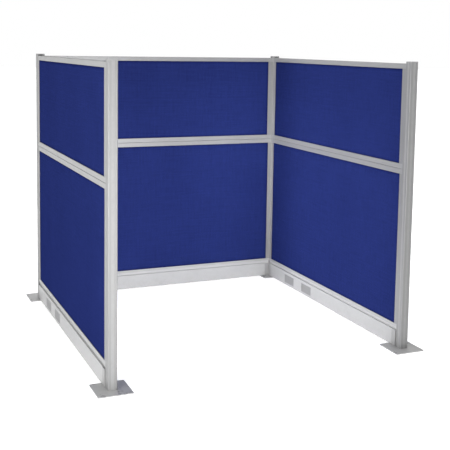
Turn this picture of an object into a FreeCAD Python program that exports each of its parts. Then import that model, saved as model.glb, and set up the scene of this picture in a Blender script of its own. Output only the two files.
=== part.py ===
import FreeCAD, Part
import os
import Sketcher

# A free-standing partition that screens a workspace on three sides: a left, a back and a
# right wall, six feet wide each, between four square posts on steel foot plates.
#
# Frame: millimetres, +Z up, +X along the back wall, +Y from the open front to the back wall.
# The origin is on the floor, in the middle of the square that the four posts stand on.
#
# Each wall is modelled once in a frame of its own, with x along the wall, the workspace on
# the -y side and z up from the floor, and is then turned and moved to its place.

SIZES = [
    ("panel_width", 1829.0),
    ("overall_height", 1797.0),
    ("post_size", 54.0),
    ("post_radius", 5.0),
    ("slot_width", 18.0),
    ("slot_depth", 7.0),
    ("post_void", 34.0),
    ("cap_height", 7.0),
    ("cap_spigot", 12.0),
    ("cap_edge", 1.2),
    ("plate_size", 200.0),
    ("plate_thickness", 5.0),
    ("plate_radius", 7.0),
    ("screw_radius", 2.5),
    ("screw_head_radius", 5.2),
    ("screw_length", 22.0),
    ("screw_spread", 41.0),
    ("screw_sink", 0.2),
    ("thread_gap", 0.1),
    ("panel_top", 1783.0),
    ("panel_seam", 1133.7),
    ("seam_gap", 1.6),
    ("lower_fabric_bottom", 147.0),
    ("frame_thickness", 48.0),
    ("frame_wall", 2.0),
    ("frame_radius", 1.5),
    ("rail_face", 31.2),
    ("bottom_rail_face", 18.0),
    ("upper_stile_face", 38.0),
    ("lower_stile_face", 28.0),
    ("channel_depth", 8.0),
    ("board_thickness", 36.0),
    ("fabric_thickness", 2.0),
    ("filler_inset", 0.7),
    ("fit_gap", 0.3),
    ("key_height", 90.0),
    ("key_rise", 720.0),
    ("raceway_thickness", 64.0),
    ("raceway_top", 110.0),
    ("raceway_bottom", 8.0),
    ("shelf_width", 49.0),
    ("shelf_top", 107.0),
    ("shelf_bottom", 11.0),
    ("neck_width", 40.0),
    ("sheet_thickness", 1.5),
    ("cover_radius", 1.2),
    ("cover_return", 11.0),
    ("trim_width", 40.0),
    ("trim_radius", 0.9),
    ("floor_gap", 1.0),
    ("outlet_near", 400.0),
    ("outlet_far", 675.0),
    ("outlet_width", 150.0),
    ("outlet_height", 64.0),
    ("outlet_level", 57.0),
    ("outlet_flange", 5.0),
    ("outlet_sheet", 1.0),
    ("outlet_recess", 0.9),
    ("overcut", 1.0),
]

DOC = FreeCAD.newDocument("partition_wall")
SHEET = DOC.addObject("Spreadsheet::Sheet", "Sizes")
PARTS = []


class Dim:
    """A size in millimetres, together with the spreadsheet expression that gives it."""

    def __init__(self, value, text):
        self.value = value
        self.text = text

    def __add__(self, other):
        other = as_dim(other)
        return Dim(self.value + other.value, f"({self.text} + {other.text})")

    def __sub__(self, other):
        other = as_dim(other)
        return Dim(self.value - other.value, f"({self.text} - {other.text})")

    def __mul__(self, factor):
        return Dim(self.value * factor, f"({self.text} * {factor})")

    def __truediv__(self, divisor):
        return Dim(self.value / divisor, f"({self.text} / {divisor})")

    def __neg__(self):
        return self * -1


def as_dim(size):
    return size if isinstance(size, Dim) else Dim(float(size), repr(float(size)))


def fill_sheet():
    """Write the driving sizes to the sheet and return them by name."""
    for row, (name, value) in enumerate(SIZES, start=1):
        SHEET.set(f"A{row}", name)
        SHEET.set(f"B{row}", str(value))
        SHEET.setAlias(f"B{row}", name)
    DOC.recompute()
    return {name: Dim(value, f"Sizes.{name}") for name, value in SIZES}


S = fill_sheet()

SPACING = S["panel_width"] + S["post_size"]
CORNER = SPACING / 2
POST_HALF = S["post_size"] / 2
PANEL_END = S["panel_width"] / 2
FRAME_HALF = S["frame_thickness"] / 2
BOARD_HALF = S["board_thickness"] / 2
SKIN_FACE = BOARD_HALF + S["fabric_thickness"]
CHANNEL_HALF = SKIN_FACE + S["fit_gap"]
TUCK = S["channel_depth"] - S["fit_gap"]
RACEWAY_HALF = S["raceway_thickness"] / 2
ZERO = as_dim(0.0)

# Levels of the visible edges of the two fabric-covered tiles of a wall.
UPPER_TOP = S["panel_top"] - S["rail_face"]
UPPER_BOTTOM = S["panel_seam"] + S["rail_face"] + S["seam_gap"] / 2
LOWER_TOP = S["panel_seam"] - S["rail_face"] - S["seam_gap"] / 2
LOWER_BOTTOM = S["lower_fabric_bottom"]
PANEL_BOTTOM = LOWER_BOTTOM - S["bottom_rail_face"]

# Where each wall stands and how far it is turned about Z.
WALLS = {
    "left": (-CORNER, ZERO, 90.0),
    "back": (ZERO, CORNER, 0.0),
    "right": (CORNER, ZERO, -90.0),
}

# Post positions, as signs of the corner distance, and the directions in which walls leave.
POSTS = {
    "front_left": (-1, -1, [(0, 1)]),
    "front_right": (1, -1, [(0, 1)]),
    "rear_left": (-1, 1, [(0, -1), (1, 0)]),
    "rear_right": (1, 1, [(0, -1), (-1, 0)]),
}

FACES = [(1, 0), (-1, 0), (0, 1), (0, -1)]
INNER, OUTER = -1, 1

# The walls whose raceway covers have windows for outlets.
POWERED = ("left", "right")

FULL_TURN = 360
SQUARE_CORNERS = 4
KEYS_UP_A_WALL = 3
TOLERANCE = 1e-3


# ---- document helpers ------------------------------------------------------------------


def make_body(label, wall=None):
    """Start a sub-part; a sub-part of a wall takes that wall's place and turn."""
    body = DOC.addObject("PartDesign::Body", label)
    body.Label = label
    if wall:
        x, y, angle = WALLS[wall]
        turn = FreeCAD.Rotation(FreeCAD.Vector(0, 0, 1), angle)
        body.Placement = FreeCAD.Placement(FreeCAD.Vector(), turn)
        body.setExpression("Placement.Base.x", x.text)
        body.setExpression("Placement.Base.y", y.text)
    PARTS.append(body)
    return body


def origin_feature(body, role):
    return next(item for item in body.Origin.OriginFeatures if item.Role == role)


def make_sketch(body, plane, offset=None):
    sketch = body.newObject("Sketcher::SketchObject", "Sketch")
    sketch.AttachmentSupport = [(origin_feature(body, plane), "")]
    sketch.MapMode = "FlatFace"
    if offset is not None:
        sketch.setExpression("AttachmentOffset.Base.z", offset.text)
    return sketch


def pin_point(sketch, geometry, position, point):
    """Bind one point of the sketch to a pair of sizes measured from the sketch's origin."""
    for kind, axis, size in (("DistanceX", -2, point[0]), ("DistanceY", -1, point[1])):
        if size.value == 0:
            sketch.addConstraint(Sketcher.Constraint("PointOnObject", geometry, position, axis))
            continue
        constraint = Sketcher.Constraint(kind, -1, 1, geometry, position, size.value)
        index = sketch.addConstraint(constraint)
        sketch.setExpression(f"Constraints[{index}]", size.text)


def draw_polygon(sketch, points):
    """Draw a closed outline of straight lines with every corner bound to sizes."""
    points = [(as_dim(x), as_dim(y)) for x, y in points]
    corners = [FreeCAD.Vector(x.value, y.value, 0) for x, y in points]
    ends = corners[1:] + corners[:1]
    lines = [Part.LineSegment(a, b) for a, b in zip(corners, ends)]
    ids = sketch.addGeometry(lines, False)
    for this, following in zip(ids, ids[1:] + ids[:1]):
        sketch.addConstraint(Sketcher.Constraint("Coincident", this, 2, following, 1))
    for line, point in zip(ids, points):
        pin_point(sketch, line, 1, point)


def draw_rectangle(sketch, x_low, x_high, y_low, y_high):
    draw_polygon(sketch, [(x_low, y_low), (x_high, y_low), (x_high, y_high), (x_low, y_high)])


def draw_circle(sketch, x, y, radius):
    circle = Part.Circle(FreeCAD.Vector(x.value, y.value, 0), FreeCAD.Vector(0, 0, 1), radius.value)
    index = sketch.addGeometry(circle, False)
    pin_point(sketch, index, 3, (x, y))
    number = sketch.addConstraint(Sketcher.Constraint("Radius", index, radius.value))
    sketch.setExpression(f"Constraints[{number}]", radius.text)


def pad(body, sketch, length, symmetric=False):
    feature = body.newObject("PartDesign::Pad", "Pad")
    feature.Profile = sketch
    feature.setExpression("Length", length.text)
    feature.SideType = "Symmetric" if symmetric else "One side"
    return feature


def pocket(body, sketch, length, symmetric=False, upward=False):
    """Cut the sketch out of the body, and make sure that something was cut."""
    DOC.recompute()
    before = body.Shape.Volume
    feature = body.newObject("PartDesign::Pocket", "Pocket")
    feature.Profile = sketch
    feature.setExpression("Length", length.text)
    feature.SideType = "Symmetric" if symmetric else "One side"
    feature.Reversed = upward
    DOC.recompute()
    if feature.Shape.Volume >= before:
        raise RuntimeError(f"the pocket in {body.Label} cuts nothing")
    return feature


def round_edges(body, base, radius, chosen):
    """Round the straight edges of the last feature that the test picks out."""
    DOC.recompute()
    names = []
    for number, edge in enumerate(base.Shape.Edges, start=1):
        if len(edge.Vertexes) == 2 and chosen(edge):
            names.append(f"Edge{number}")
    feature = body.newObject("PartDesign::Fillet", "Fillet")
    feature.Base = (base, names)
    feature.setExpression("Radius", radius.text)
    return feature


def runs_along(edge, axis):
    """True where both ends of the edge differ only along one axis, 0, 1 or 2."""
    first, last = edge.Vertexes[0].Point, edge.Vertexes[1].Point
    return all(abs(first[i] - last[i]) < TOLERANCE for i in range(3) if i != axis)


def at_distance(value, size):
    return abs(abs(value) - size.value) < TOLERANCE


def polar_pattern(body, originals, count, whole=False):
    feature = body.newObject("PartDesign::PolarPattern", "PolarPattern")
    feature.Originals = originals
    feature.Axis = (origin_feature(body, "Z_Axis"), [""])
    feature.Angle = FULL_TURN
    feature.Occurrences = count
    if whole:
        feature.TransformMode = "Whole shape"
    body.Tip = feature
    return feature


def linear_pattern(body, originals, axis, length, count):
    feature = body.newObject("PartDesign::LinearPattern", "LinearPattern")
    feature.Originals = originals
    feature.Direction = (origin_feature(body, axis), [""])
    feature.setExpression("Length", length.text)
    feature.Occurrences = count
    body.Tip = feature
    return feature


# ---- posts, caps and feet --------------------------------------------------------------


def make_post(name):
    """A square aluminium extrusion with a slot down each face and a hollow core."""
    x_sign, y_sign, _ = POSTS[name]
    body = make_body(f"{name}_post")
    body.setExpression("Placement.Base.x", (CORNER * x_sign).text)
    body.setExpression("Placement.Base.y", (CORNER * y_sign).text)
    length = S["overall_height"] - S["cap_height"] - S["plate_thickness"]

    outline = make_sketch(body, "XY_Plane", S["plate_thickness"])
    draw_rectangle(outline, -POST_HALF, POST_HALF, -POST_HALF, POST_HALF)
    core = S["post_void"] / 2
    draw_rectangle(outline, -core, core, -core, core)
    extrusion = pad(body, outline, length)

    slot = make_sketch(body, "XY_Plane", S["plate_thickness"])
    half = S["slot_width"] / 2
    draw_rectangle(slot, POST_HALF - S["slot_depth"], POST_HALF + S["overcut"], -half, half)
    polar_pattern(body, [pocket(body, slot, length, upward=True)], len(FACES))

    thread = make_sketch(body, "XY_Plane", S["plate_thickness"])
    reach = S["screw_spread"] / 2
    draw_circle(thread, reach, reach, S["screw_radius"] + S["thread_gap"])
    drilled = polar_pattern(body, [pocket(body, thread, S["screw_length"], upward=True)], SQUARE_CORNERS)

    def outer_corner(edge):
        point = edge.Vertexes[0].Point
        corner = at_distance(point.x, POST_HALF) and at_distance(point.y, POST_HALF)
        return corner and runs_along(edge, 2)

    round_edges(body, drilled, S["post_radius"], outer_corner)


def make_post_caps():
    """Four flat caps, each with a spigot that plugs the hollow core of its post."""
    body = make_body("post_caps")
    bottom = S["overall_height"] - S["cap_height"]
    lid = make_sketch(body, "XY_Plane", bottom)
    low, high = CORNER - POST_HALF, CORNER + POST_HALF
    draw_rectangle(lid, low, high, low, high)
    plate = pad(body, lid, S["cap_height"])

    def lid_edge(edge):
        point = edge.Vertexes[0].Point
        return runs_along(edge, 2) and point.x > 0

    def top_edge(edge):
        return all(at_distance(end.Point.z, S["overall_height"]) for end in edge.Vertexes)

    rounded = round_edges(body, plate, S["post_radius"], lid_edge)
    softened = round_edges(body, rounded, S["cap_edge"], top_edge)
    spigot = make_sketch(body, "XY_Plane", bottom - S["cap_spigot"])
    core = S["post_void"] / 2 - S["fit_gap"]
    draw_rectangle(spigot, CORNER - core, CORNER + core, CORNER - core, CORNER + core)
    plug = pad(body, spigot, S["cap_spigot"])
    polar_pattern(body, [plate, rounded, softened, plug], len(POSTS), whole=True)


def countersink_outline(reach, gap, bottom, tip):
    """Half of a countersunk shape about the upright line at reach, its wide end down."""
    sink = S["screw_sink"]
    head = reach + S["screw_head_radius"] + gap
    shank = reach + S["screw_radius"] + gap
    neck = sink + S["screw_head_radius"] - S["screw_radius"]
    return [(reach, bottom), (head, bottom), (head, sink), (shank, neck), (shank, tip), (reach, tip)]


def revolve(body, kind, outline, reach):
    """Turn an outline in the upright plane at reach about the upright line at reach."""
    sketch = make_sketch(body, "XZ_Plane", -reach)
    draw_polygon(sketch, outline)
    top = S["plate_size"]
    ends = [FreeCAD.Vector(reach.value, level, 0) for level in (0, top.value)]
    line = sketch.addGeometry(Part.LineSegment(*ends), True)
    pin_point(sketch, line, 1, (reach, ZERO))
    pin_point(sketch, line, 2, (reach, top))
    feature = body.newObject(kind, "Turned")
    feature.Profile = sketch
    feature.ReferenceAxis = (sketch, ["Axis0"])
    feature.Angle = FULL_TURN
    return feature


def make_foot_screws():
    """Four countersunk screws up through each foot plate into the corners of its post."""
    body = make_body("foot_screws")
    reach = CORNER + S["screw_spread"] / 2
    tip = S["plate_thickness"] + S["screw_length"] - S["overcut"]
    outline = countersink_outline(reach, ZERO, S["screw_sink"] / 2, tip)
    screw = revolve(body, "PartDesign::Revolution", outline, reach)

    steps = []
    for axis in ("X_Axis", "Y_Axis"):
        step = DOC.addObject("PartDesign::LinearPattern", "Step")
        step.Direction = (origin_feature(body, axis), [""])
        step.setExpression("Length", S["screw_spread"].text)
        step.Reversed = True
        step.Occurrences = 2
        steps.append(step)
    around = DOC.addObject("PartDesign::PolarPattern", "Around")
    around.Axis = (origin_feature(body, "Z_Axis"), [""])
    around.Angle = FULL_TURN
    around.Occurrences = len(POSTS)
    steps.append(around)
    pattern = body.newObject("PartDesign::MultiTransform", "ScrewPattern")
    pattern.Originals = [screw]
    for step in steps:
        body.addObject(step)
    pattern.Transformations = steps
    body.Tip = pattern


def make_foot_plate(name):
    """A square steel plate with round corners and four countersunk holes from below."""
    x_sign, y_sign, _ = POSTS[name]
    body = make_body(f"{name}_foot_plate")
    body.setExpression("Placement.Base.x", (CORNER * x_sign).text)
    body.setExpression("Placement.Base.y", (CORNER * y_sign).text)
    outline = make_sketch(body, "XY_Plane")
    half = S["plate_size"] / 2
    draw_rectangle(outline, -half, half, -half, half)
    plate = pad(body, outline, S["plate_thickness"])
    rounded = round_edges(body, plate, S["plate_radius"], lambda edge: runs_along(edge, 2))

    DOC.recompute()
    before = rounded.Shape.Volume
    reach = S["screw_spread"] / 2
    tip = S["plate_thickness"] + S["overcut"]
    outline = countersink_outline(reach, S["fit_gap"], -S["overcut"], tip)
    hole = revolve(body, "PartDesign::Groove", outline, reach)
    DOC.recompute()
    if hole.Shape.Volume >= before:
        raise RuntimeError("the countersunk hole cuts nothing")
    polar_pattern(body, [hole], SQUARE_CORNERS)


def slot_block(sketch, name, face, inset):
    """A rectangle that fills one slot of a post, set back from the face by the inset."""
    x_sign, y_sign, _ = POSTS[name]
    half = S["slot_width"] / 2 - S["fit_gap"]
    deep = POST_HALF - S["slot_depth"] + S["fit_gap"]
    shallow = POST_HALF - inset
    spans = []
    for sign, side in ((x_sign, face[0]), (y_sign, face[1])):
        centre = CORNER * sign
        if side == 0:
            spans += [centre - half, centre + half]
        elif side > 0:
            spans += [centre + deep, centre + shallow]
        else:
            spans += [centre - shallow, centre - deep]
    draw_rectangle(sketch, *spans)


def make_slot_fillers():
    """A strip in each post slot that no wall uses, full height."""
    body = make_body("slot_fillers")
    sketch = make_sketch(body, "XY_Plane", S["plate_thickness"])
    for name, (_, _, used) in POSTS.items():
        for face in FACES:
            if face not in used:
                slot_block(sketch, name, face, S["filler_inset"])
    pad(body, sketch, S["overall_height"] - S["cap_height"] - S["plate_thickness"])


def make_panel_keys():
    """Keys in the used post slots that locate the walls, three up each wall end."""
    body = make_body("panel_keys")
    sketch = make_sketch(body, "XY_Plane", S["lower_fabric_bottom"])
    for name, (_, _, used) in POSTS.items():
        for face in used:
            slot_block(sketch, name, face, ZERO)
    key = pad(body, sketch, S["key_height"])
    rise = S["key_rise"] * (KEYS_UP_A_WALL - 1)
    linear_pattern(body, [key], "Z_Axis", rise, KEYS_UP_A_WALL)


# ---- panel frames, boards and fabric ---------------------------------------------------


def frame_section(sketch, lip, back, upright):
    """A hollow frame member with a channel for the board's edge.

    lip and back are the edges of its visible face, on the board's side and away from it.
    A rail is drawn in the section across the wall, an upright one in plan.
    """
    way = 1 if back.value > lip.value else -1
    floor = lip + S["channel_depth"] * way
    near = floor + S["frame_wall"] * way
    far = back - S["frame_wall"] * way
    inside = FRAME_HALF - S["frame_wall"]
    outer = [
        (-FRAME_HALF, lip), (-FRAME_HALF, back), (FRAME_HALF, back), (FRAME_HALF, lip),
        (CHANNEL_HALF, lip), (CHANNEL_HALF, floor), (-CHANNEL_HALF, floor), (-CHANNEL_HALF, lip),
    ]
    void = [(-inside, near), (-inside, far), (inside, far), (inside, near)]
    for outline in (outer, void):
        if upright:
            outline = [(along, across) for across, along in outline]
        draw_polygon(sketch, outline)


def make_rail(wall, name, lip, back):
    body = make_body(f"{wall}_{name}", wall)
    sketch = make_sketch(body, "YZ_Plane")
    frame_section(sketch, lip, back, upright=False)
    rail = pad(body, sketch, S["panel_width"], symmetric=True)

    def face_edge(edge):
        return runs_along(edge, 0) and at_distance(edge.Vertexes[0].Point.y, FRAME_HALF)

    round_edges(body, rail, S["frame_radius"], face_edge)


def make_stiles(wall, name, face, bottom, top):
    """The two uprights of a tile, between its rails, one at each end of the wall."""
    body = make_body(f"{wall}_{name}", wall)
    sketch = make_sketch(body, "XY_Plane", bottom)
    frame_section(sketch, PANEL_END - face, PANEL_END, upright=True)
    stile = pad(body, sketch, top - bottom)

    def face_edge(edge):
        point = edge.Vertexes[0].Point
        return runs_along(edge, 2) and at_distance(point.y, FRAME_HALF)

    round_edges(body, stile, S["frame_radius"], face_edge)
    polar_pattern(body, [stile], 2, whole=True)


def make_slabs(wall, name, reach, levels, depths):
    """Flat sheets of one width and height that stand side by side across the wall."""
    body = make_body(f"{wall}_{name}", wall)
    sketch = make_sketch(body, "YZ_Plane")
    for near, far in depths:
        draw_rectangle(sketch, near, far, *levels)
    pad(body, sketch, reach * 2, symmetric=True)


def make_tile(wall, tile, stile_face, bottom, top):
    """One fabric-covered tile: the uprights, the board and a fabric skin on either side."""
    make_stiles(wall, f"{tile}_stiles", stile_face, bottom, top)
    reach = PANEL_END - stile_face + TUCK
    levels = (bottom - TUCK, top + TUCK)
    make_slabs(wall, f"{tile}_board", reach, levels, [(-BOARD_HALF, BOARD_HALF)])
    skins = [(-SKIN_FACE, -BOARD_HALF), (BOARD_HALF, SKIN_FACE)]
    make_slabs(wall, f"{tile}_fabric", reach, levels, skins)


# ---- raceway along the foot of each wall -----------------------------------------------


def make_chassis(wall):
    """The raceway's spine: a hollow neck, a web and two shelves that carry the covers."""
    body = make_body(f"{wall}_raceway_chassis", wall)
    sketch = make_sketch(body, "YZ_Plane")
    neck, shelf = S["neck_width"] / 2, S["shelf_width"] / 2
    web = S["frame_wall"] / 2
    thick = S["frame_wall"]
    low, high = S["shelf_bottom"], S["shelf_top"]
    half = [
        (neck, PANEL_BOTTOM), (neck, high), (shelf, high), (shelf, high - thick),
        (web, high - thick), (web, low + thick), (shelf, low + thick), (shelf, low),
    ]
    draw_polygon(sketch, half + [(-across, level) for across, level in reversed(half)])
    inside = neck - thick
    draw_rectangle(sketch, -inside, inside, high, PANEL_BOTTOM - thick)
    pad(body, sketch, S["panel_width"] - (S["sheet_thickness"] + S["fit_gap"]) * 2, symmetric=True)


def outlet_windows(sketch, side, grow):
    """Rectangles of the outlet windows, each grown all round by a margin."""
    for distance in (S["outlet_near"], S["outlet_far"]):
        centre = (distance - CORNER) * -side
        half_width = S["outlet_width"] / 2 + grow
        half_height = S["outlet_height"] / 2 + grow
        level = S["outlet_level"]
        left, right = centre - half_width, centre + half_width
        draw_rectangle(sketch, left, right, level - half_height, level + half_height)


def make_cover(wall, name, side):
    """A pressed cover that snaps over the shelves, on a powered wall with windows for outlets."""
    body = make_body(f"{wall}_{name}_cover", wall)
    sketch = make_sketch(body, "YZ_Plane")
    face = RACEWAY_HALF * side
    skin = face - S["sheet_thickness"] * side
    back = face - S["cover_return"] * side
    top, bottom = S["raceway_top"], S["raceway_bottom"]
    under, over = top - S["sheet_thickness"], bottom + S["sheet_thickness"]
    draw_polygon(sketch, [
        (face, bottom), (face, top), (back, top), (back, under),
        (skin, under), (skin, over), (back, over), (back, bottom),
    ])
    length = S["panel_width"] - (S["trim_width"] + S["fit_gap"]) * 2
    sheet = pad(body, sketch, length, symmetric=True)

    def face_edge(edge):
        return runs_along(edge, 0) and at_distance(edge.Vertexes[0].Point.y, RACEWAY_HALF)

    round_edges(body, sheet, S["cover_radius"], face_edge)
    if wall in POWERED:
        windows = make_sketch(body, "XZ_Plane")
        outlet_windows(windows, side, ZERO)
        pocket(body, windows, S["raceway_thickness"] + S["overcut"], symmetric=True)


def make_blanks(wall, name, side):
    """Blank plates that close the outlet windows, each held by a flange behind the cover."""
    body = make_body(f"{wall}_{name}_outlet_blanks", wall)
    inner_skin = RACEWAY_HALF - S["sheet_thickness"]
    steps = [
        (-S["fit_gap"], inner_skin, RACEWAY_HALF - S["outlet_recess"]),
        (S["outlet_flange"], inner_skin - S["outlet_sheet"], inner_skin),
    ]
    for grow, near, far in steps:
        plane_offset = near if side < 0 else -far
        sketch = make_sketch(body, "XZ_Plane", plane_offset)
        outlet_windows(sketch, side, grow)
        pad(body, sketch, far - near)


TRIM_NOTCH = RACEWAY_HALF - POST_HALF + S["fit_gap"]


def trim_outline(front_end):
    """Plan of an end trim: a channel whose web stands against the post.

    At a corner of the partition its workspace flange starts further from the post, which
    leaves room for the trim of the neighbouring wall.
    """
    sheet, face = S["sheet_thickness"], RACEWAY_HALF
    post, end = PANEL_END, PANEL_END - S["trim_width"]
    if front_end:
        outside = [(post, -face)]
        inside = [(post - sheet, -face + sheet)]
    else:
        shoulder, notched = -POST_HALF + S["fit_gap"], post - TRIM_NOTCH
        outside = [(post, shoulder), (notched, shoulder), (notched, -face)]
        inside = [
            (notched - sheet, -face + sheet),
            (notched - sheet, shoulder + sheet),
            (post - sheet, shoulder + sheet),
        ]
    return [(post, face)] + outside + [(end, -face), (end, -face + sheet)] + inside + [
        (post - sheet, face - sheet), (end, face - sheet), (end, face),
    ]


def make_end_trims(wall):
    """The two channels that finish the raceway against the posts."""
    body = make_body(f"{wall}_raceway_end_trims", wall)
    foot = S["plate_thickness"] + S["floor_gap"]
    sketch = make_sketch(body, "XY_Plane", foot)
    front = {"left": -1, "right": 1}.get(wall)
    for end in (-1, 1):
        draw_polygon(sketch, [(x * end, y) for x, y in trim_outline(end == front)])
    trims = pad(body, sketch, S["raceway_top"] - foot)

    def post_edge(edge):
        point = edge.Vertexes[0].Point
        beside_post = at_distance(point.x, PANEL_END) or at_distance(point.x, PANEL_END - TRIM_NOTCH)
        return runs_along(edge, 2) and at_distance(point.y, RACEWAY_HALF) and beside_post

    round_edges(body, trims, S["trim_radius"], post_edge)


# ---- assembly --------------------------------------------------------------------------


def make_wall(wall):
    make_rail(wall, "top_rail", UPPER_TOP, S["panel_top"])
    make_rail(wall, "upper_sill", UPPER_BOTTOM, UPPER_BOTTOM - S["rail_face"])
    make_rail(wall, "lower_header", LOWER_TOP, LOWER_TOP + S["rail_face"])
    make_rail(wall, "bottom_rail", LOWER_BOTTOM, PANEL_BOTTOM)
    make_tile(wall, "upper", S["upper_stile_face"], UPPER_BOTTOM, UPPER_TOP)
    make_tile(wall, "lower", S["lower_stile_face"], LOWER_BOTTOM, LOWER_TOP)
    make_chassis(wall)
    make_end_trims(wall)
    for name, side in (("inner", INNER), ("outer", OUTER)):
        make_cover(wall, name, side)
        if wall in POWERED:
            make_blanks(wall, name, side)


def check_document():
    DOC.recompute()
    for item in DOC.Objects:
        if "Invalid" in item.State or "Error" in item.State:
            raise RuntimeError(f"{item.Label} failed: {item.State}")
    for part in PARTS:
        if part.Shape.isNull() or not part.Shape.isValid():
            raise RuntimeError(f"{part.Label} has no valid shape")


def export_parts():
    os.makedirs("parts", exist_ok=True)
    for part in PARTS:
        part.Shape.exportStep(f"parts/{part.Label}.step")
        box = part.Shape.BoundBox
        print(f"{part.Label}: {len(part.Shape.Solids)} solids, z {box.ZMin:.1f} to {box.ZMax:.1f}")


for post_name in POSTS:
    make_post(post_name)
    make_foot_plate(post_name)
make_post_caps()
make_foot_screws()
make_slot_fillers()
make_panel_keys()
for wall_name in WALLS:
    make_wall(wall_name)
check_document()
export_parts()
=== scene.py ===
"""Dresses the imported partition: a U of three fabric-covered walls between four posts on foot plates."""
import math

import bmesh
import bpy
from mathutils import Matrix, Vector, noise


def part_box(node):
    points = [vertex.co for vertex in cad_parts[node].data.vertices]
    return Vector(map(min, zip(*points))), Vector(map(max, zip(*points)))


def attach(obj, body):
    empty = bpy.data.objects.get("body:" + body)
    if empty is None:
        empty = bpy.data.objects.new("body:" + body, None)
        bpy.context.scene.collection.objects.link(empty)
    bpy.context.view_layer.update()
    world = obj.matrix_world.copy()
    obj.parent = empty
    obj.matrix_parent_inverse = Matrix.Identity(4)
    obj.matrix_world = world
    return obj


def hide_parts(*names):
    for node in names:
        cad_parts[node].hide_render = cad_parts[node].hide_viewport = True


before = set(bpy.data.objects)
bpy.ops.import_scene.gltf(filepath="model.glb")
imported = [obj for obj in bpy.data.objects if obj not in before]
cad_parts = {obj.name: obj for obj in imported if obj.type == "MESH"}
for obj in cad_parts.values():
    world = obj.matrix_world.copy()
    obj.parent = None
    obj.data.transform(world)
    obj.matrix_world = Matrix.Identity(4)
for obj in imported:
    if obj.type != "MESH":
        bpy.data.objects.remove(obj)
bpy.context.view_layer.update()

MM = 0.001
WALLS = ("left", "back", "right")
TILES = ("upper", "lower")
SIDES = ("inner", "outer")
POSTS = ("front_left", "front_right", "rear_left", "rear_right")


# ---------------------------------------------------------------- colours, linear RGB

def grey(level, warmth=0.0):
    """A grey, warmer where warmth is over 0 and cooler where it is under."""
    return (level * (1 + warmth), level, level * (1 - warmth), 1.0)


def tinted(colour, factor):
    """The colour, darker where factor is under 1 and lighter where it is over."""
    return tuple(channel * factor for channel in colour[:3]) + (1.0,)


COOL = -0.002
POST_SILVER = grey(0.268, COOL)
RAIL_SILVER = grey(0.31, COOL)
STILE_SILVER = grey(0.265, COOL)
BOTTOM_RAIL_SILVER = grey(0.4)
# painted light: the chassis is lighter than its coat to offset the shade in the groove under the bottom
# rail
CHASSIS_SILVER_PAINTED_LIGHT = grey(0.5)
TRIM_SILVER = grey(0.32)
COVER_SILVER = grey(0.42)
PLATE_DARK, PLATE_LIGHT, PLATE_SCRATCH = grey(0.37), grey(0.45), grey(0.5)
# painted light: the fillers are lighter than the posts to offset the shade in their slots
CAP_GREY, FILLER_GREY_PAINTED_LIGHT, BLANK_GREY = grey(0.3), grey(0.3), grey(0.235)
ZINC, MILL_ALUMINIUM = grey(0.55, -0.01), grey(0.62)
FLOOR_DUST = grey(0.30, 0.05)

CLOTH_DARK = (0.0117, 0.0187, 0.095, 1.0)
CLOTH_LIGHT = (0.0213, 0.0340, 0.164, 1.0)
CLOTH_PAINTED_SHADE = (0.006, 0.010, 0.060, 1.0)     # painted shade between the threads, and in the crease along the lips

BOARD_DARK = (0.16, 0.085, 0.035, 1.0)
BOARD_LIGHT = (0.30, 0.18, 0.085, 1.0)
BOARD_CLOUD = (0.12, 0.06, 0.025, 1.0)

FLOOR_DARK, FLOOR_LIGHT = grey(0.93), grey(0.96)
WHITE = (1.0, 1.0, 1.0, 1.0)


# ---------------------------------------------------------------- node trees

MIDDLE = (0.3, 0.7)            # most of a noise's values lie between these
NARROW_MIDDLE = (0.35, 0.65)


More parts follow.
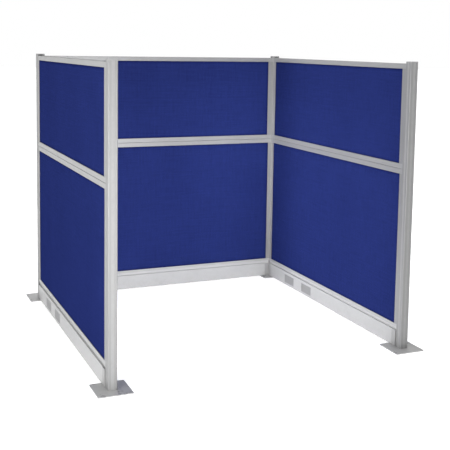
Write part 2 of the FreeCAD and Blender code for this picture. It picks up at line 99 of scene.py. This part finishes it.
class Graph:
    """A node tree being wired up. Most methods add one node and give back its output.

    place is a point of the surface in metres in the row's frame, because every piece's own origin is
    the row's. In a world's tree it is the direction looked in. axes are its X, Y and Z.
    """

    def __init__(self, owner, shader="Principled BSDF", coordinates="Object"):
        owner.use_nodes = True
        self.owner = owner
        self.tree = owner.node_tree
        self.shader = self.tree.nodes[shader]
        self.place = self.node("TexCoord", output=coordinates)
        self.axes = tuple(self.node("SeparateXYZ", {"Vector": self.place}).node.outputs)

    def node(self, kind, inputs=(), output=0, **settings):
        made = self.tree.nodes.new("ShaderNode" + kind)
        for name, value in settings.items():
            setattr(made, name, value)
        for socket, value in dict(inputs).items():
            self.feed(made.inputs[socket], value)
        return made.outputs[output]

    def feed(self, socket, value):
        """Link an output to the socket, or set the socket to a plain value."""
        if isinstance(value, bpy.types.NodeSocket):
            self.tree.links.new(value, socket)
        else:
            socket.default_value = value

    def math(self, operation, *values):
        return self.node("Math", enumerate(values), operation=operation)

    def plus(self, first, second):
        return self.math("ADD", first, second)

    def times(self, first, second):
        return self.math("MULTIPLY", first, second)

    def along_wall(self):
        """X + Y: the distance along any of the three walls, which run along X or along Y."""
        return self.plus(*self.axes[:2])

    def stretched(self, places, scales):
        """A vector of three places, each times its own scale. Marks run along the smallest one."""
        parts = [self.times(place, scale) for place, scale in zip(places, scales)]
        return self.node("CombineXYZ", enumerate(parts))

    def noise(self, place, scale=1.0, detail=3.0, roughness=0.55):
        inputs = {"Vector": place, "Scale": scale, "Detail": detail, "Roughness": roughness}
        return self.node("TexNoise", inputs)

    def span(self, value, low, high, to_low=0.0, to_high=1.0, smooth=False):
        """value from low..high carried to to_low..to_high, held at the ends."""
        kind = "SMOOTHSTEP" if smooth else "LINEAR"
        inputs = {"Value": value, "From Min": low, "From Max": high, "To Min": to_low, "To Max": to_high}
        return self.node("MapRange", inputs, interpolation_type=kind, clamp=True)

    def blend(self, factor, first, second):
        """The first colour where factor is 0, the second where it is 1."""
        made = self.tree.nodes.new("ShaderNodeMix")
        made.data_type = "RGBA"
        sockets = {socket.identifier: socket for socket in made.inputs}
        for key, value in (("Factor_Float", factor), ("A_Color", first), ("B_Color", second)):
            self.feed(sockets[key], value)
        return next(socket for socket in made.outputs if socket.identifier == "Result_Color")

    def shaded(self, factor, colour, tints):
        """The colour times the first tint where factor is 0, times the second where it is 1."""
        return self.blend(factor, *(tinted(colour, tint) for tint in tints))

    def uneven(self, mottle, roughness, smoother, duller):
        """A roughness that the mottle varies, by smoother down and by duller up."""
        return self.span(mottle, *MIDDLE, roughness - smoother, roughness + duller)

    def bump(self, height, distance):
        return self.node("Bump", {"Height": height, "Distance": distance, "Strength": 1.0})

    def finish(self, **sockets):
        """Feed the shader's sockets by name, and give back the finished material."""
        for name, value in sockets.items():
            self.feed(self.shader.inputs[name.replace("_", " ")], value)
        return self.owner


def material_graph(name):
    return Graph(bpy.data.materials.new(name))


# ---------------------------------------------------------------- metal and plastic
# A noise's scale is its number of features in a metre, and a bump's distance is in metres.

DRAWN_ALONG, DRAWN_ACROSS = 1.5, 900.0     # how quickly drawn lines change along and across them
MOTTLE_SCALE, PEEL_SCALE = 9.0, 650.0      # uneven coating, and the orange peel on it
COAT_TINTS = (0.965, 1.03)
SPECK_SCALE, SPECKS = 38.0, (0.45, 0.75)
DUST_HEIGHT = 0.16                         # floor dust thins out up to here
TOP_DUST_AND_SHADE_TONE = 0.88                            # tone on faces that look up: a dull layer of dust, and painted shade
TOP_DUST_ROUGHNESS = 0.9
FACING_UP = (0.6, 0.95)                    # the normal's Z, where the dust and its painted shade begin and are full
DUST_AND_SHADE_PATCHES = (0.25, 0.7)                 # the mottle, from where the dust and painted shade are thin to where they are full
THIN_DUST_AND_SHADE = 0.7
COAT_RELIEF = 0.03 * MM
FINE_RELIEF = 0.02 * MM


def drawn_lines(g, direction):
    """Fine lines left along an extrusion: quick change across it, slow change along it."""
    if direction == "upright":
        place = g.stretched(g.axes, (DRAWN_ACROSS, DRAWN_ACROSS, DRAWN_ALONG))
    else:
        place = g.stretched((g.along_wall(), g.axes[2], 0.0), (DRAWN_ALONG, DRAWN_ACROSS, 0.0))
    return g.noise(place, detail=2.0)


def floor_dust(g, tone, amount):
    """Specks of dust that fade out up to DUST_HEIGHT."""
    low = g.span(g.axes[2], 0.0, DUST_HEIGHT, 1.0, 0.0, smooth=True)
    specks = g.span(g.noise(g.place, SPECK_SCALE, detail=6.0, roughness=0.7), *SPECKS)
    return g.blend(g.times(g.times(low, specks), amount), tone, FLOOR_DUST)


def top_dust_and_shade(g, mottle):
    """Where dust dulls the faces that look up and painted shade darkens them: 0 on the others, from the
    thin share to 1 on these.
    """
    upward = g.node("SeparateXYZ", {"Vector": g.node("NewGeometry", output="Normal")}, output="Z")
    return g.times(g.span(upward, *FACING_UP), g.span(mottle, *DUST_AND_SHADE_PATCHES, THIN_DUST_AND_SHADE, 1.0))


def coated_metal(name, colour, direction, metallic=0.0, roughness=0.42, lines=0.6, dust=0.0):
    """Satin powder coat: orange peel over faint drawn lines, uneven gloss, dust low down, and dust with
    painted shade on top.
    """
    g = material_graph(name)
    mottle = g.noise(g.place, MOTTLE_SCALE, detail=4.0)
    peel = g.noise(g.place, PEEL_SCALE, detail=1.5)
    streak = drawn_lines(g, direction)
    shade = g.plus(g.times(mottle, 0.6), g.times(streak, 0.4))
    tone = g.shaded(g.span(shade, *NARROW_MIDDLE), colour, COAT_TINTS)
    if dust:
        tone = floor_dust(g, tone, dust)
    dust_and_shade = top_dust_and_shade(g, mottle)
    # painted shade: faces that look up take a darker tone, together with the dust that dulls them
    tone = g.blend(dust_and_shade, tone, tinted(colour, TOP_DUST_AND_SHADE_TONE))
    gloss = g.uneven(mottle, roughness, 0.05, 0.06)
    gloss = g.math("MAXIMUM", gloss, g.times(dust_and_shade, TOP_DUST_ROUGHNESS))
    relief = g.bump(g.plus(peel, g.times(streak, lines)), COAT_RELIEF)
    return g.finish(Base_Color=tone, Metallic=metallic, Roughness=gloss, Normal=relief)


PLASTIC_GRAIN, PLASTIC_MOTTLE = 1400.0, 30.0
PLASTIC_TINTS = (0.95, 1.04)


def moulded_plastic(name, colour, roughness=0.5):
    """Satin plastic with the fine spark-eroded grain of its mould."""
    g = material_graph(name)
    grain = g.node("TexVoronoi", {"Vector": g.place, "Scale": PLASTIC_GRAIN})
    mottle = g.noise(g.place, PLASTIC_MOTTLE)
    tone = g.shaded(g.span(mottle, *MIDDLE), colour, PLASTIC_TINTS)
    gloss = g.uneven(mottle, roughness, 0.05, 0.08)
    return g.finish(Base_Color=tone, Roughness=gloss, Normal=g.bump(grain, FINE_RELIEF))


PLATE_CLOUD, PLATE_GRAIN = 14.0, 500.0
SCRATCH_SLANT = 0.35                       # scratches run this far aside for each metre along X
SCRATCH_ALONG, SCRATCH_ACROSS = 12.0, 900.0
SCRATCHED = (0.62, 0.72)                   # only the noise's peaks are scratches
SCRATCH_TINGE, SCRATCH_DEPTH = 0.25, -0.5
PLATE_ROUGHNESS = (0.24, 0.38)


def plate_steel():
    """Coated steel plate, glossier than the posts, with slanting scratches."""
    g = material_graph("plate_coat")
    x, y, z = g.axes
    along = g.plus(x, g.times(y, SCRATCH_SLANT))
    across = g.math("SUBTRACT", y, g.times(x, SCRATCH_SLANT))
    scratch = g.noise(g.stretched((along, across, z), (SCRATCH_ALONG, SCRATCH_ACROSS, 1.0)))
    marks = g.span(scratch, *SCRATCHED)
    cloud = g.noise(g.place, PLATE_CLOUD, detail=5.0)
    tone = g.blend(g.span(cloud, *MIDDLE), PLATE_DARK, PLATE_LIGHT)
    tone = g.blend(g.times(marks, SCRATCH_TINGE), tone, PLATE_SCRATCH)
    gloss = g.span(cloud, *MIDDLE, *PLATE_ROUGHNESS)
    relief = g.bump(g.plus(g.noise(g.place, PLATE_GRAIN), g.times(marks, SCRATCH_DEPTH)), FINE_RELIEF)
    return g.finish(Base_Color=tone, Metallic=0.3, Roughness=gloss, Normal=relief)


FIXING_LINES = (60.0, 60.0, 2500.0)
FIXING_BLOTCH = 120.0
FIXING_TINTS = (0.85, 1.05)


def bare_metal(name, colour, roughness=0.32):
    """Plated or mill-finish metal on the fixings: fine level lines and blotchy gloss."""
    g = material_graph(name)
    fine = g.noise(g.stretched(g.axes, FIXING_LINES))
    blotch = g.noise(g.place, FIXING_BLOTCH, detail=4.0)
    tone = g.shaded(g.span(blotch, *MIDDLE), colour, FIXING_TINTS)
    gloss = g.uneven(blotch, roughness, 0.08, 0.1)
    return g.finish(Base_Color=tone, Metallic=1.0, Roughness=gloss, Normal=g.bump(fine, FINE_RELIEF))


# ---------------------------------------------------------------- boards and cloth

FIBRE_SCALE, FIBRE_RELIEF = 420.0, 0.1 * MM
BOARD_CLOUD_SCALE, BOARD_CLOUD_TINGE = 6.0, 0.25


def hardboard():
    """Brown hardboard with its matted fibres."""
    g = material_graph("hardboard")
    fibre = g.noise(g.place, FIBRE_SCALE, detail=5.0, roughness=0.7)
    cloud = g.noise(g.place, BOARD_CLOUD_SCALE)
    tone = g.blend(g.span(fibre, *NARROW_MIDDLE), BOARD_DARK, BOARD_LIGHT)
    tone = g.blend(g.span(cloud, *MIDDLE, 0.0, BOARD_CLOUD_TINGE), tone, BOARD_CLOUD)
    return g.finish(Base_Color=tone, Roughness=0.78, Normal=g.bump(fibre, FIBRE_RELIEF))


THREAD_PITCH = 0.9 * MM
WEAVE_RELIEF = 0.18 * MM
WEFT_OFFSET = 0.37                                 # keeps the weft's shades apart from the warp's
SLUB_ACROSS = 0.07                                 # a slub's changes per thread
WARP_SLUB_ALONG, WEFT_SLUB_ALONG = 0.008, 0.006
SLUB_LAYER = 7.0                                   # keeps the weft's slubs apart from the warp's
CLOTH_CLOUD = 3.0
CLOTH_SHADES = (0.45, 1.15)                        # the summed shades, from the dark cloth to the light
GAP_HEIGHTS = (0.15, 0.75)                         # a thread's height, from in the gap to on its top; the painted shade between threads is full below and gone above
THREAD_MIDDLE, THREAD_SWING = 0.6, 0.4             # a thread's height between crossings, and its change
# how far the painted shade in the crease along the lips darkens the cloth
CREASE_SHADE_TINGE = 0.8
FUZZ_SCALE, FUZZ_DEPTH = 2600.0, 0.35


def thread(g, across, along, number, over):
    """Height of one thread: round across, rising by over and dipping as it crosses the others."""
    crown = g.math("POWER", g.math("ABSOLUTE", g.math("SINE", g.times(across, math.pi))), 0.5)
    wave = g.math("COSINE", g.times(g.math("SUBTRACT", along, number), math.pi))
    return g.times(crown, g.math("MULTIPLY_ADD", wave, over, THREAD_MIDDLE))


def yarn_shade(g, warp_number, weft_number, on_top):
    """Each thread's own shade from 0 to 1, the warp's where on_top is 1."""
    warp = g.node("TexWhiteNoise", {"W": warp_number}, noise_dimensions="1D")
    weft = g.node("TexWhiteNoise", {"W": g.plus(weft_number, WEFT_OFFSET)}, noise_dimensions="1D")
    return g.plus(g.times(warp, on_top), g.times(weft, g.math("SUBTRACT", 1.0, on_top)))


def woven_blue():
    """Plain-weave panel cloth. Warp runs up the wall and weft along it, one thread to the pitch."""
    g = material_graph("woven_blue")
    u = g.math("DIVIDE", g.along_wall(), THREAD_PITCH)
    v = g.math("DIVIDE", g.axes[2], THREAD_PITCH)
    warp_number, weft_number = g.math("FLOOR", u), g.math("FLOOR", v)
    half_u, half_v = g.math("SUBTRACT", u, 0.5), g.math("SUBTRACT", v, 0.5)
    warp = thread(g, u, half_v, warp_number, THREAD_SWING)
    weft = thread(g, v, half_u, weft_number, -THREAD_SWING)
    height = g.math("MAXIMUM", warp, weft)

    yarn = yarn_shade(g, warp_number, weft_number, g.math("GREATER_THAN", warp, weft))
    warp_slub = g.noise(g.stretched((u, v, 0.0), (SLUB_ACROSS, WARP_SLUB_ALONG, 1.0)), detail=2.0)
    weft_slub = g.noise(g.stretched((u, v, SLUB_LAYER), (WEFT_SLUB_ALONG, SLUB_ACROSS, 1.0)), detail=2.0)
    shade = g.plus(g.times(yarn, 0.35), g.times(g.plus(warp_slub, weft_slub), 0.5))
    shade = g.plus(shade, g.times(g.noise(g.place, CLOTH_CLOUD), 0.3))
    tone = g.blend(g.span(shade, *CLOTH_SHADES), CLOTH_DARK, CLOTH_LIGHT)
    # painted shade between the threads: the low parts of the weave take the dark colour
    tone = g.blend(g.span(height, *GAP_HEIGHTS), CLOTH_PAINTED_SHADE, tone)
    # painted shade: the cloth darkens in the crease along the frame's lips
    painted_crease_shade = g.node("Attribute", output="Fac", attribute_name="painted_crease_shade")
    tone = g.blend(g.times(painted_crease_shade, CREASE_SHADE_TINGE), tone, CLOTH_PAINTED_SHADE)

    fuzz = g.noise(g.place, FUZZ_SCALE, detail=2.0)
    relief = g.bump(g.plus(height, g.times(fuzz, FUZZ_DEPTH)), WEAVE_RELIEF)
    return g.finish(Base_Color=tone, Roughness=0.88, Specular_IOR_Level=0.0, Normal=relief)


# ---------------------------------------------------------------- CAD nodes

def dress(material, *nodes):
    for node in nodes:
        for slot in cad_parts[node].material_slots:
            slot.material = material


def dress_walls(material, *names):
    """Dress the nodes of these names on all three walls."""
    dress(material, *(f"{wall}_{name}" for wall in WALLS for name in names))


def dress_posts():
    dress(coated_metal("post_coat", POST_SILVER, "upright", metallic=0.25, roughness=0.44, dust=0.5),
          *(f"{post}_post" for post in POSTS))
    dress(plate_steel(), *(f"{post}_foot_plate" for post in POSTS))
    dress(moulded_plastic("cap_plastic", CAP_GREY, 0.6), "post_caps")
    # painted light: the fillers' lighter tone offsets the shade in the posts' slots
    dress(moulded_plastic("filler_plastic_painted_light", FILLER_GREY_PAINTED_LIGHT), "slot_fillers")
    dress(bare_metal("zinc_plate", ZINC), "foot_screws")
    dress(bare_metal("mill_aluminium", MILL_ALUMINIUM), "panel_keys")


def dress_frames():
    dress_walls(coated_metal("rail_coat", RAIL_SILVER, "level", metallic=0.2),
                "top_rail", "upper_sill", "lower_header")
    dress_walls(coated_metal("bottom_rail_coat", BOTTOM_RAIL_SILVER, "level", metallic=0.1),
                "bottom_rail")
    dress_walls(coated_metal("stile_coat", STILE_SILVER, "upright", metallic=0.2),
                "upper_stiles", "lower_stiles")
    dress_walls(hardboard(), "upper_board", "lower_board")


def dress_raceways():
    # painted light: the chassis has a lighter tone so the shaded groove it shows in reads light
    dress_walls(coated_metal("chassis_coat_painted_light", CHASSIS_SILVER_PAINTED_LIGHT, "level"), "raceway_chassis")
    dress_walls(coated_metal("trim_coat", TRIM_SILVER, "upright", dust=0.5), "raceway_end_trims")
    dress_walls(coated_metal("cover_coat", COVER_SILVER, "level", lines=0.4, dust=0.4),
                "inner_cover", "outer_cover")
    dress(moulded_plastic("blank_plastic", BLANK_GREY),
          *(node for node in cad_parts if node.endswith("_outlet_blanks")))


# ---------------------------------------------------------------- fabric

EDGE_ROWS = (0, 4, 7.7, 9, 11, 14, 19, 27, 40, 60)   # mm from a sheet's edge, close where it bends
FIELD_STEP = 30 * MM
TUCK = 7.7 * MM               # the margin that runs on behind the frame's lips
EDGE_DEPTH = 19.2 * MM        # the cloth's face from the wall's middle plane, under the lips
CROWN = 1.6 * MM              # how far the padding lifts it, within SHOULDER of the lips
SHOULDER = 30 * MM
RIPPLE = 0.18 * MM            # how far the padding is uneven
RIPPLE_ALONG, RIPPLE_UP = 5, 3   # its changes in a metre
CREASE_SHADE_BAND = (10 * MM, 22 * MM)   # from the edge, where the painted shade in the crease along the lips begins to fade and ends
CLOTH_THICKNESS = 0.9 * MM


def share(value, low, high):
    """How far value is from low to high, held between 0 and 1."""
    return min(max((value - low) / (high - low), 0.0), 1.0)


def grid_lines(low, high):
    """Places of the grid lines from low to high: EDGE_ROWS at both ends and even steps between."""
    rows = [row * MM for row in EDGE_ROWS]
    inner_low, inner_high = low + rows[-1], high - rows[-1]
    count = max(2, round((inner_high - inner_low) / FIELD_STEP))
    field = [inner_low + (inner_high - inner_low) * i / count for i in range(1, count)]
    return [low + row for row in rows] + field + [high - row for row in reversed(rows)]


def padding_lift(inset):
    """0 under the lips, 1 past the shoulder, with a round start like padding held at its edge."""
    reach = share(inset, TUCK, TUCK + SHOULDER)
    return math.sqrt(1 - (1 - reach) ** 2)


def sheet_mesh(low, high, run, outward):
    """A grid over the box in the plane of run and Z, on one side of the wall's middle.

    outward is 1 where that side is the higher one along the depth, and -1 where it is the lower.
    """
    depth = 1 - run
    middle = (low[depth] + high[depth]) / 2
    distances, heights = (grid_lines(low[axis], high[axis]) for axis in (run, 2))
    mesh = bmesh.new()
    painted_crease_shade = mesh.verts.layers.float.new("painted_crease_shade")
    rows = []
    for height in heights:
        row = []
        for distance in distances:
            inset = min(distance - low[run], high[run] - distance, height - low[2], high[2] - height)
            lift = padding_lift(inset)
            ripple_place = (distance * RIPPLE_ALONG, height * RIPPLE_UP, middle + outward)
            sway = noise.noise(Vector(ripple_place))
            spot = Vector((0, 0, height))
            spot[run] = distance
            spot[depth] = middle + outward * (EDGE_DEPTH + CROWN * lift + RIPPLE * lift * sway)
            vertex = mesh.verts.new(spot)
            # painted shade mask: 1 in the crease along the lips, fading to 0 away from them
            vertex[painted_crease_shade] = 1 - share(inset, *CREASE_SHADE_BAND)
            row.append(vertex)
        rows.append(row)
    for lower, upper in zip(rows, rows[1:]):
        for i in range(len(lower) - 1):
            mesh.faces.new((lower[i], lower[i + 1], upper[i + 1], upper[i])).smooth = True
    bmesh.ops.recalc_face_normals(mesh, faces=mesh.faces)
    if next(iter(mesh.faces)).normal[depth] * outward < 0:
        bmesh.ops.reverse_faces(mesh, faces=mesh.faces)
    return mesh


def piece_of(mesh, name, material):
    """A new object of this bmesh and material, linked into the scene."""
    data = bpy.data.meshes.new(name)
    mesh.to_mesh(data)
    mesh.free()
    data.materials.append(material)
    piece = bpy.data.objects.new(name, data)
    bpy.context.scene.collection.objects.link(piece)
    return piece


def fabric_sheet(wall, tile, side, cloth):
    """One stretched skin of a tile: a grid in the wall's plane, tucked behind the lips all round."""
    node = f"{wall}_{tile}_fabric"
    low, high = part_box(node)
    run = 0 if wall == "back" else 1       # the axis that the wall runs along
    towards_inside = -1 if low[1 - run] + high[1 - run] > 0 else 1
    outward = towards_inside if side == "inner" else -towards_inside
    mesh = sheet_mesh(low, high, run, outward)
    piece = piece_of(mesh, f"{wall}_{tile}_{side}_cloth", cloth)
    thickness = piece.modifiers.new("thickness", "SOLIDIFY")
    thickness.thickness = CLOTH_THICKNESS
    thickness.offset = -1
    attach(piece, "partition")
    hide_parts(node)


def add_fabric():
    cloth = woven_blue()
    for wall in WALLS:
        for tile in TILES:
            for side in SIDES:
                fabric_sheet(wall, tile, side, cloth)


# ---------------------------------------------------------------- studio

CAMERA_PLACE = (-2.203, -5.413, 1.878)
CAMERA_YAW, CAMERA_PITCH, CAMERA_ROLL = 23.17, 6.14, 0.889   # degrees right of +Y, down, anticlockwise
CAMERA_LENS, CAMERA_SENSOR = 70.05, 36.0                     # mm
CAMERA_SHIFT = -0.19

FLOOR_HALF = 60.0
FLOOR_CLOUD = 0.8
FLOOR_GLOW = 0.42              # the pale floor gives out a little light of its own

ROOM_LEVEL = 0.14
CEILING_PATCH = (0.7, 0.9)     # the direction's Z, where the bright ceiling begins and is full
CEILING_LEVEL = 2.2
BACKDROP_SIDE = (-0.1, 0.4)    # the direction's Y, where the backdrop begins and is full
BACKDROP_TOP = (0.12, 0.5)     # the direction's Z, where it begins to fade and is gone
HORIZON_BAND = (0.04, 0.12)    # the same for the band all round

SOFTBOXES = {                  # place, aim, width, height, watts, degrees it spreads over
    "near_left": ((-0.85, -3.2, 0.9), (-0.94, -0.94, 0.75), 0.5, 1.8, 4.8, 60),
    "left_strip": ((-4.5, -4.0, 0.9), (0, 0, 0.9), 0.3, 1.6, 149, 180),
    "inside": ((-0.42, -0.9, 1.1), (0.22, 0.92, 1.0), 0.4, 1.2, 24.5, 170),
    "corner": ((-0.3, -0.85, 1.1), (0.94, 0.94, 0.95), 0.4, 1.6, 3.5, 50),
    "right_side": ((4.6, 1.2, 1.1), (0.97, 0.1, 0.9), 1.5, 1.5, 42, 180),
    "rear": ((0.8, 4.6, 1.1), (0.1, 0.97, 0.9), 1.5, 1.5, 42, 180),
}


def add_camera():
    yaw, pitch, roll = (math.radians(angle) for angle in (CAMERA_YAW, CAMERA_PITCH, CAMERA_ROLL))
    ahead = Vector((math.sin(yaw) * math.cos(pitch), math.cos(yaw) * math.cos(pitch), -math.sin(pitch)))
    level = Vector((math.cos(yaw), -math.sin(yaw), 0))
    upright = level.cross(ahead)
    right = level * math.cos(roll) + upright * math.sin(roll)
    up = upright * math.cos(roll) - level * math.sin(roll)
    data = bpy.data.cameras.new("camera")
    data.sensor_width, data.lens, data.shift_y = CAMERA_SENSOR, CAMERA_LENS, CAMERA_SHIFT
    camera = bpy.data.objects.new("camera", data)
    turn = Matrix((right, up, -ahead)).transposed().to_4x4()
    camera.matrix_world = Matrix.Translation(CAMERA_PLACE) @ turn
    bpy.context.scene.collection.objects.link(camera)
    bpy.context.scene.camera = camera


def studio_floor_paint():
    """Pale studio floor, almost even, with a glow that keeps shadows faint."""
    g = material_graph("studio_floor")
    tone = g.blend(g.span(g.noise(g.place, FLOOR_CLOUD, detail=2.0), *MIDDLE), FLOOR_DARK, FLOOR_LIGHT)
    return g.finish(Base_Color=tone, Roughness=0.9, Specular_IOR_Level=0.1,
                    Emission_Color=WHITE, Emission_Strength=FLOOR_GLOW)


def add_floor():
    mesh = bmesh.new()
    corners = ((-1, -1), (1, -1), (1, 1), (-1, 1))
    mesh.faces.new([mesh.verts.new((x * FLOOR_HALF, y * FLOOR_HALF, 0)) for x, y in corners])
    piece_of(mesh, "floor", studio_floor_paint())


def add_softbox(name, place, target, width, height, power, spread):
    data = bpy.data.lights.new(name, "AREA")
    data.shape = "RECTANGLE"
    data.size, data.size_y, data.energy = width, height, power
    data.spread = math.radians(spread)
    lamp = bpy.data.objects.new(name, data)
    lamp.location = place
    lamp.rotation_mode = "QUATERNION"
    lamp.rotation_quaternion = (Vector(target) - Vector(place)).to_track_quat("-Z", "Y")
    lamp.visible_camera = False
    bpy.context.scene.collection.objects.link(lamp)


def add_world():
    """A dim room with a bright ceiling, white behind the partition and in a thin band at the horizon."""
    world = bpy.data.worlds.new("studio")
    bpy.context.scene.world = world
    g = Graph(world, "Background", "Generated")
    _, ahead, height = g.axes
    behind = g.span(ahead, *BACKDROP_SIDE, smooth=True)
    low = g.span(height, *BACKDROP_TOP, 1.0, 0.0, smooth=True)
    horizon = g.span(height, *HORIZON_BAND, 1.0, 0.0, smooth=True)
    white = g.math("MAXIMUM", g.times(behind, low), horizon)
    overhead = g.span(height, *CEILING_PATCH, 0.0, CEILING_LEVEL, smooth=True)
    g.finish(Color=WHITE, Strength=g.plus(g.span(white, 0.0, 1.0, ROOM_LEVEL, 1.0), overhead))


def add_studio():
    add_camera()
    add_floor()
    add_world()
    for name, facts in SOFTBOXES.items():
        add_softbox(name, *facts)
    bpy.context.scene.view_settings.view_transform = "Standard"


dress_posts()
dress_frames()
dress_raceways()
add_fabric()
add_studio()
